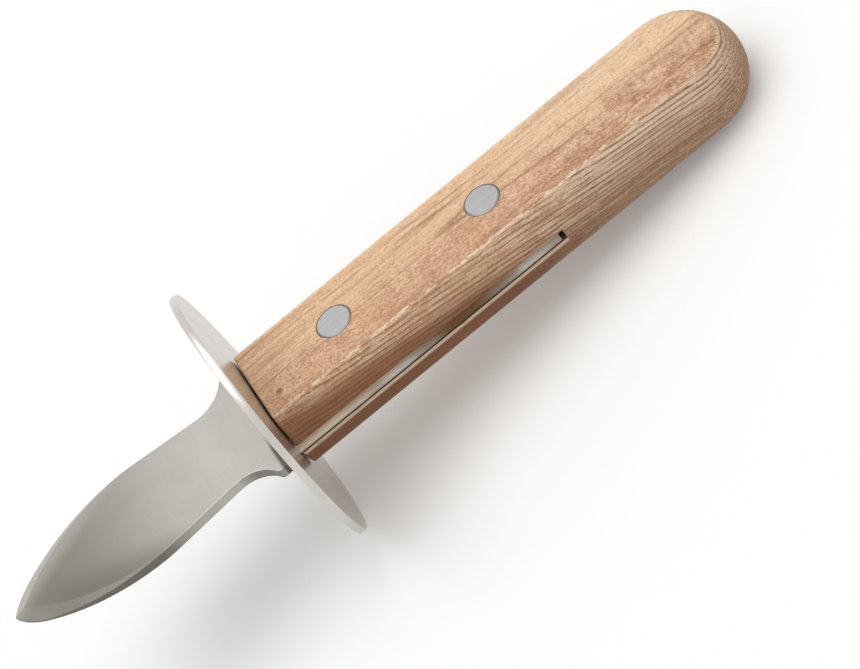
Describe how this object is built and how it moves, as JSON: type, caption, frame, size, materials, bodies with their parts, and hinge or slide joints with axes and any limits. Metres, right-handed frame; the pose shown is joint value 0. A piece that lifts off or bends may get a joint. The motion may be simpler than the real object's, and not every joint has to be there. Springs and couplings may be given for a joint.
{
  "type": "oyster knife",
  "caption": "Oyster knife with a short leaf-shaped steel blade, a round steel hand guard and a riveted one-piece wooden handle, for prying shells open.",
  "frame": {"origin": "middle of the knife's bounding box, on its long centre line", "axes": "+X along the knife from the tip to the butt, Y across the blade's width, +Z square to the blade's flat on the side of the solid rivet heads"},
  "size_m": [0.1638, 0.0535, 0.0534],
  "materials": {
    "blade_steel": "fine satin grind",
    "guard_steel": "polished",
    "handle_wood": "sanded and oiled, open pored",
    "rivet_aluminium": "satin"
  },
  "bodies": {
    "root": {"blade": "blade_steel", "hand_guard": "guard_steel", "handle": "handle_wood", "front_rivet_post": "rivet_aluminium", "front_rivet_sleeve": "rivet_aluminium", "rear_rivet_post": "rivet_aluminium", "rear_rivet_sleeve": "rivet_aluminium"}
  },
  "joints": []
}
